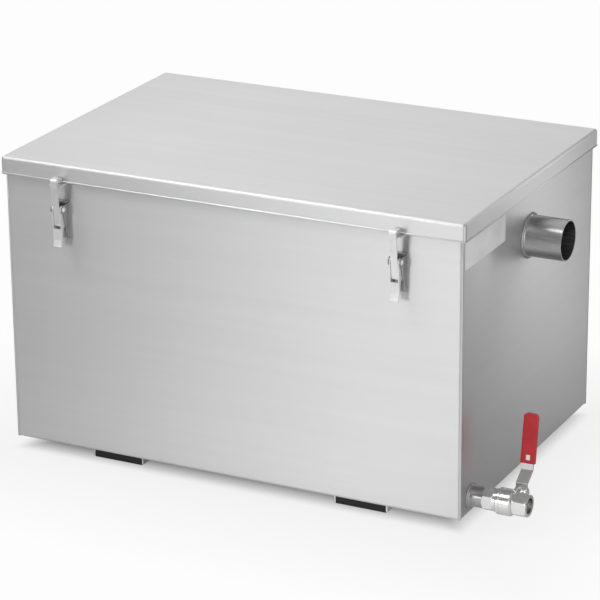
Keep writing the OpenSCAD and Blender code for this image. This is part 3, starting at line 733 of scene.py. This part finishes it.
def make_floor(stage):
    """A wide pale floor that keeps the shadow and runs out to white for the camera."""
    bpy.ops.mesh.primitive_plane_add(size=stage.floor_size)
    floor = bpy.context.object
    floor.name = "floor"
    shader = new_shader("floor")
    matt = shader.add("ShaderNodeBsdfDiffuse")
    matt.inputs["Color"].default_value = (*stage.floor, 1.0)
    white = shader.add("ShaderNodeEmission")
    rays = shader.add("ShaderNodeLightPath").outputs
    place = shader.axes(shader.geometry("Position"))
    distance = distance_from_tank(shader, place)
    far = shader.spread(distance, stage.white_near, stage.white_far, 0.0, stage.white_reach)
    contact = shader.spread(distance, stage.white_under, 1.0, stage.shade_in, stage.shade_out)
    seen = shader.math("MULTIPLY", shader.math("MINIMUM", far, contact), rays["Is Camera Ray"])
    mirrored = shader.math("MULTIPLY", front_of_tank(shader, place), rays["Is Glossy Ray"])
    lifted = shader.add("ShaderNodeMixShader")
    shader.link(shader.math("MAXIMUM", seen, mirrored), lifted.inputs["Fac"])
    shader.link(matt.outputs["BSDF"], lifted.inputs[1])
    shader.link(white.outputs["Emission"], lifted.inputs[2])
    shader.show(lifted.outputs["Shader"])
    floor.data.materials.append(shader.owner)


def make_world(scene, stage):
    """A soft dome of light with a few brighter patches, and white to the camera."""
    shader = Shader(bpy.data.worlds.new("studio"), "ShaderNodeOutputWorld")
    light = shader.add("ShaderNodeBackground")
    light.inputs["Color"].default_value = WHITE
    way = shader.add("ShaderNodeTexCoord").outputs["Generated"]
    glow = shader.add("ShaderNodeLightPath").outputs["Is Camera Ray"]
    for patch, name, start, stop in DOME_PATCHES:
        near = shader.dot(way, Vector(patch).normalized())
        glow = shader.math(
            "MAXIMUM", glow, shader.spread(near, stage.dome_low, getattr(stage, name), start, stop))
    shader.link(glow, light.inputs["Strength"])
    shader.show(light.outputs["Background"])
    scene.world = shader.owner


def make_lamp(scene, aim, name, place, size, power):
    """A soft lamp that looks at the aim."""
    lamp = bpy.data.lights.new(name, "AREA")
    lamp.shape = "RECTANGLE"
    lamp.size, lamp.size_y = size
    lamp.energy = power
    piece = bpy.data.objects.new(name, lamp)
    scene.collection.objects.link(piece)
    piece.location = place
    piece.rotation_euler = (aim - Vector(place)).to_track_quat("-Z", "Y").to_euler()


def make_camera(scene, stage, aim):
    """A long lens at the photograph's angle."""
    turn, rise, roll = stage.azimuth, stage.elevation, stage.roll
    back = Vector((math.sin(turn) * math.cos(rise), -math.cos(turn) * math.cos(rise), math.sin(rise)))
    right = Vector((math.cos(turn), math.sin(turn), 0))
    up = back.cross(right)
    right, up = (
        right * math.cos(roll) + up * math.sin(roll),
        up * math.cos(roll) - right * math.sin(roll),
    )
    data = bpy.data.cameras.new("camera")
    data.sensor_width = 36.0
    data.lens = stage.lens
    data.clip_end = 50.0
    camera = bpy.data.objects.new("camera", data)
    scene.collection.objects.link(camera)
    place = aim + back * stage.distance + right * stage.aim_right + up * stage.aim_up
    camera.matrix_world = Matrix((
        (right.x, up.x, back.x, place.x),
        (right.y, up.y, back.y, place.y),
        (right.z, up.z, back.z, place.z),
        (0, 0, 0, 1),
    ))
    scene.camera = camera


class GREASETRAP_OT_stage(bpy.types.Operator):
    """Set the floor, the world, the lamps and the camera"""

    bl_idname = "grease_trap.stage"
    bl_label = "Studio"

    def execute(self, context):
        scene, stage = context.scene, settings("stage")
        scene.view_settings.view_transform = "Standard"
        aim = Vector((TANK_MIDDLE.x, 0, stage.aim_height))
        make_floor(stage)
        make_world(scene, stage)
        for lamp in LAMPS:
            make_lamp(scene, aim, *lamp)
        make_camera(scene, stage, aim)
        return {"FINISHED"}


class GREASETRAP_PT_panel(bpy.types.Panel):
    """Lists the grease trap's operators"""

    bl_idname = "GREASETRAP_PT_panel"
    bl_label = "Grease trap"
    bl_space_type = "VIEW_3D"
    bl_region_type = "UI"
    bl_category = "Grease trap"

    def draw(self, context):
        for operator in OPERATORS:
            self.layout.operator(operator.bl_idname)


GROUPS = {
    "finishes": GreaseTrapFinishes,
    "sizes": GreaseTrapSizes,
    "stage": GreaseTrapStage,
}
OPERATORS = (
    GREASETRAP_OT_steel, GREASETRAP_OT_inside, GREASETRAP_OT_pipes, GREASETRAP_OT_valve,
    GREASETRAP_OT_latches, GREASETRAP_OT_rubber, GREASETRAP_OT_plate, GREASETRAP_OT_stage,
)
CLASSES = (*GROUPS.values(), *OPERATORS, GREASETRAP_PT_panel)


def register():
    for item in CLASSES:
        bpy.utils.register_class(item)
    for name, group in GROUPS.items():
        setattr(bpy.types.Scene, "grease_trap_" + name, bpy.props.PointerProperty(type=group))


def unregister():
    for name in GROUPS:
        delattr(bpy.types.Scene, "grease_trap_" + name)
    for item in reversed(CLASSES):
        bpy.utils.unregister_class(item)


def main():
    register()
    for operator in OPERATORS:
        group, name = operator.bl_idname.split(".")
        getattr(getattr(bpy.ops, group), name)()


if __name__ == "__main__":
    main()
